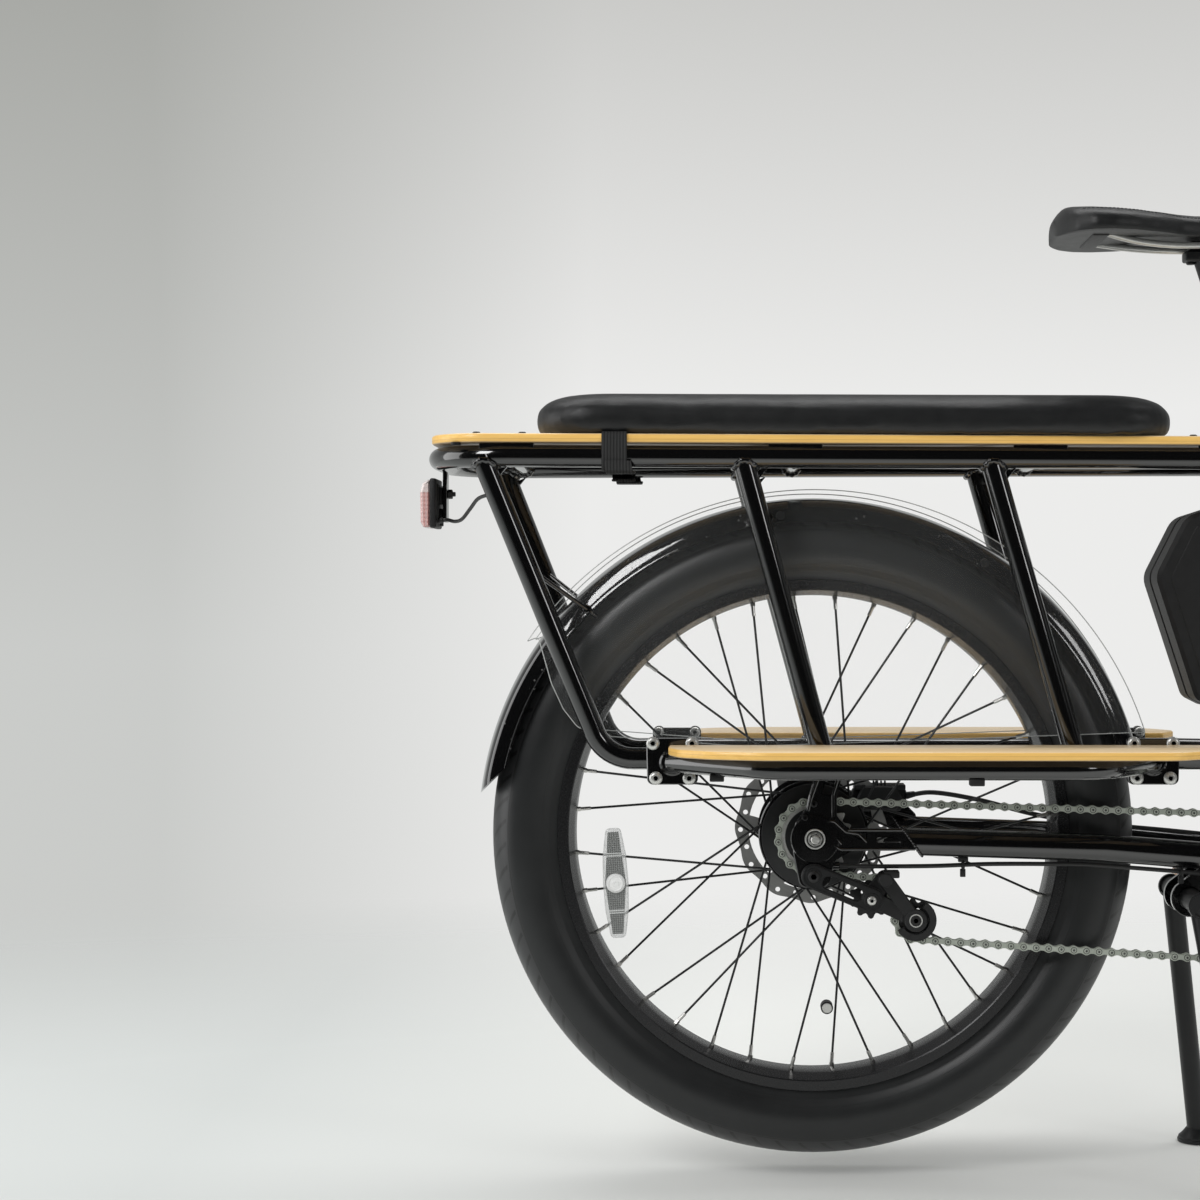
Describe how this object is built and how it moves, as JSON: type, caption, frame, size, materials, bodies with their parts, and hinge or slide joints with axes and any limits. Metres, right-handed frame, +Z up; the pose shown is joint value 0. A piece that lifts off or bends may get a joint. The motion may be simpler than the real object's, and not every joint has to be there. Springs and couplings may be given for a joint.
{
  "type": "longtail cargo bike",
  "caption": "Longtail cargo bike: low rear deck with a cushion, side footboards, fat tyres, chain drive with a sprung tensioner, mid motor and centre stand.",
  "frame": {"origin": "on the floor, under the crank spindle, half way along the bike and half way across it", "axes": "+X to the front wheel, +Y to the rider's left, +Z up"},
  "size_m": [2.0436, 0.7018, 1.0245],
  "materials": {
    "gloss_black_paint": "gloss black paint on welded tube",
    "gloss_black_fender": "gloss black",
    "satin_black_metal": "satin black",
    "rim_black": "satin black anodised",
    "bright_steel": "bright zinc plate",
    "zinc_chain": "light grey zinc plate",
    "tyre_rubber": "matte rubber",
    "grip_rubber": "matte",
    "bamboo": "clear coated bamboo",
    "leatherette": "grained black",
    "webbing": "ribbed elastic webbing",
    "black_plastic": "matte",
    "cable_jacket": "satin",
    "clear_plastic": "clear",
    "red_lens": "clear red"
  },
  "bodies": {
    "frame": {"main_frame": "gloss_black_paint", "rack_deck_frame": "gloss_black_paint", "rack_side_right": "gloss_black_paint", "rack_side_left": "gloss_black_paint", "deck_board": "bamboo", "deck_cushion": "leatherette", "cushion_strap": "webbing", "footboard_right": "bamboo", "footboard_left": "bamboo", "footboard_frame_right": "gloss_black_paint", "footboard_frame_left": "gloss_black_paint", "rear_fender": "gloss_black_fender", "wheel_guard_right": "clear_plastic", "wheel_guard_left": "clear_plastic", "tail_light_housing": "black_plastic", "tail_light_lens": "red_lens", "tail_light_cable": "cable_jacket", "motor": "satin_black_metal", "rear_caliper": "satin_black_metal", "tensioner_arm": "satin_black_metal", "chain": "zinc_chain", "rear_axle": "bright_steel", "rear_brake_hose": "cable_jacket", "shift_cable": "cable_jacket"},
    "battery": {"battery": "black_plastic"},
    "kickstand": {"kickstand": "satin_black_metal"},
    "seat": {"seat_post": "satin_black_metal", "saddle": "leatherette"},
    "tensioner": {"tensioner_cage": "satin_black_metal"},
    "rear_wheel": {"rear_tyre": "tyre_rubber", "rear_rim": "rim_black", "rear_hub": "satin_black_metal", "rear_brake_rotor": "bright_steel", "spoke_reflector": "clear_plastic"},
    "sprocket": {"sprocket": "bright_steel"},
    "guide_pulley": {"guide_pulley": "black_plastic"},
    "tension_pulley": {"tension_pulley": "black_plastic"},
    "crank": {"chainring": "satin_black_metal", "crank_right": "satin_black_metal", "crank_left": "satin_black_metal"},
    "pedal_right": {"pedal_right": "black_plastic"},
    "pedal_left": {"pedal_left": "black_plastic"},
    "steering": {"fork": "gloss_black_paint", "stem": "satin_black_metal", "handlebar": "satin_black_metal", "grip_right": "grip_rubber", "grip_left": "grip_rubber", "brake_perch_right": "satin_black_metal", "brake_perch_left": "satin_black_metal", "headlight": "black_plastic", "front_fender": "gloss_black_fender", "front_caliper": "satin_black_metal", "front_brake_hose": "cable_jacket"},
    "twist_shifter": {"twist_shifter": "black_plastic"},
    "brake_lever_right": {"brake_lever_right": "satin_black_metal"},
    "brake_lever_left": {"brake_lever_left": "satin_black_metal"},
    "front_wheel": {"front_tyre": "tyre_rubber", "front_rim": "rim_black", "front_hub": "satin_black_metal", "front_brake_rotor": "bright_steel"}
  },
  "joints": [
    {"name": "rear_wheel_spin", "type": "hinge", "parent": "frame", "child": "rear_wheel", "pos_m": [-0.62, 0, 0.351], "axis": [0, 1, 0], "continuous": true},
    {"name": "crank_spin", "type": "hinge", "parent": "frame", "child": "crank", "pos_m": [0, 0, 0.291], "axis": [0, 1, 0], "continuous": true, "deforming": ["chain"]},
    {"name": "sprocket_spin", "type": "hinge", "parent": "frame", "child": "sprocket", "pos_m": [-0.62, 0, 0.351], "axis": [0, 1, 0], "continuous": true},
    {"name": "guide_pulley_spin", "type": "hinge", "parent": "frame", "child": "guide_pulley", "pos_m": [-0.5635, 0, 0.29], "axis": [0, 1, 0], "continuous": true},
    {"name": "tensioner_swing", "type": "hinge", "parent": "frame", "child": "tensioner", "pos_m": [-0.5635, 0, 0.29], "axis": [0, 1, 0], "range_deg": [-12, 40], "stiffness_Nm_per_rad": 1.5, "deforming": ["chain"]},
    {"name": "tension_pulley_spin", "type": "hinge", "parent": "tensioner", "child": "tension_pulley", "pos_m": [-0.5185, 0, 0.2683], "axis": [0, 1, 0], "continuous": true},
    {"name": "pedal_right_spin", "type": "hinge", "parent": "crank", "child": "pedal_right", "pos_m": [0.17, 0, 0.291], "axis": [0, 1, 0], "continuous": true},
    {"name": "pedal_left_spin", "type": "hinge", "parent": "crank", "child": "pedal_left", "pos_m": [-0.17, 0, 0.291], "axis": [0, 1, 0], "continuous": true},
    {"name": "steering_turn", "type": "hinge", "parent": "frame", "child": "steering", "pos_m": [0.64432, 0, 0.31108], "axis": [-0.3584, 0, 0.9336], "range_deg": [-55, 55], "deforming": ["rear_brake_hose", "shift_cable"]},
    {"name": "front_wheel_spin", "type": "hinge", "parent": "steering", "child": "front_wheel", "pos_m": [0.691, 0, 0.329], "axis": [0, 1, 0], "continuous": true},
    {"name": "brake_lever_right_pull", "type": "hinge", "parent": "steering", "child": "brake_lever_right", "pos_m": [0.46284, -0.17442, 1.00336], "axis": [-0.0688, 0.1659, -0.9837], "range_deg": [0, 11], "stiffness_Nm_per_rad": 4, "springref_deg": -5.73},
    {"name": "brake_lever_left_pull", "type": "hinge", "parent": "steering", "child": "brake_lever_left", "pos_m": [0.44695, 0.21716, 0.99726], "axis": [0.0688, 0.1659, 0.9837], "range_deg": [0, 11], "stiffness_Nm_per_rad": 4, "springref_deg": -5.73},
    {"name": "shifter_twist", "type": "hinge", "parent": "steering", "child": "twist_shifter", "pos_m": [0.34358, -0.345, 0.98293], "axis": [0.3453, 0.9291, 0.1325], "range_deg": [-60, 60]},
    {"name": "seat_post_slide", "type": "slide", "parent": "frame", "child": "seat", "axis": [-0.309, 0, 0.9511], "range_m": [-0.1, 0.08]},
    {"name": "kickstand_fold", "type": "hinge", "parent": "frame", "child": "kickstand", "pos_m": [-0.235, 0, 0.285], "axis": [0, 1, 0], "range_deg": [0, 95]},
    {"name": "battery_slide", "type": "slide", "parent": "frame", "child": "battery", "axis": [0, 1, 0], "range_m": [0, 0.12]}
  ],
  "couplings": [
    {"joint": "sprocket_spin", "follows": "crank_spin", "ratio": 2.1111},
    {"joint": "guide_pulley_spin", "follows": "crank_spin", "ratio": -3.8},
    {"joint": "tension_pulley_spin", "follows": "crank_spin", "ratio": 3.8}
  ]
}
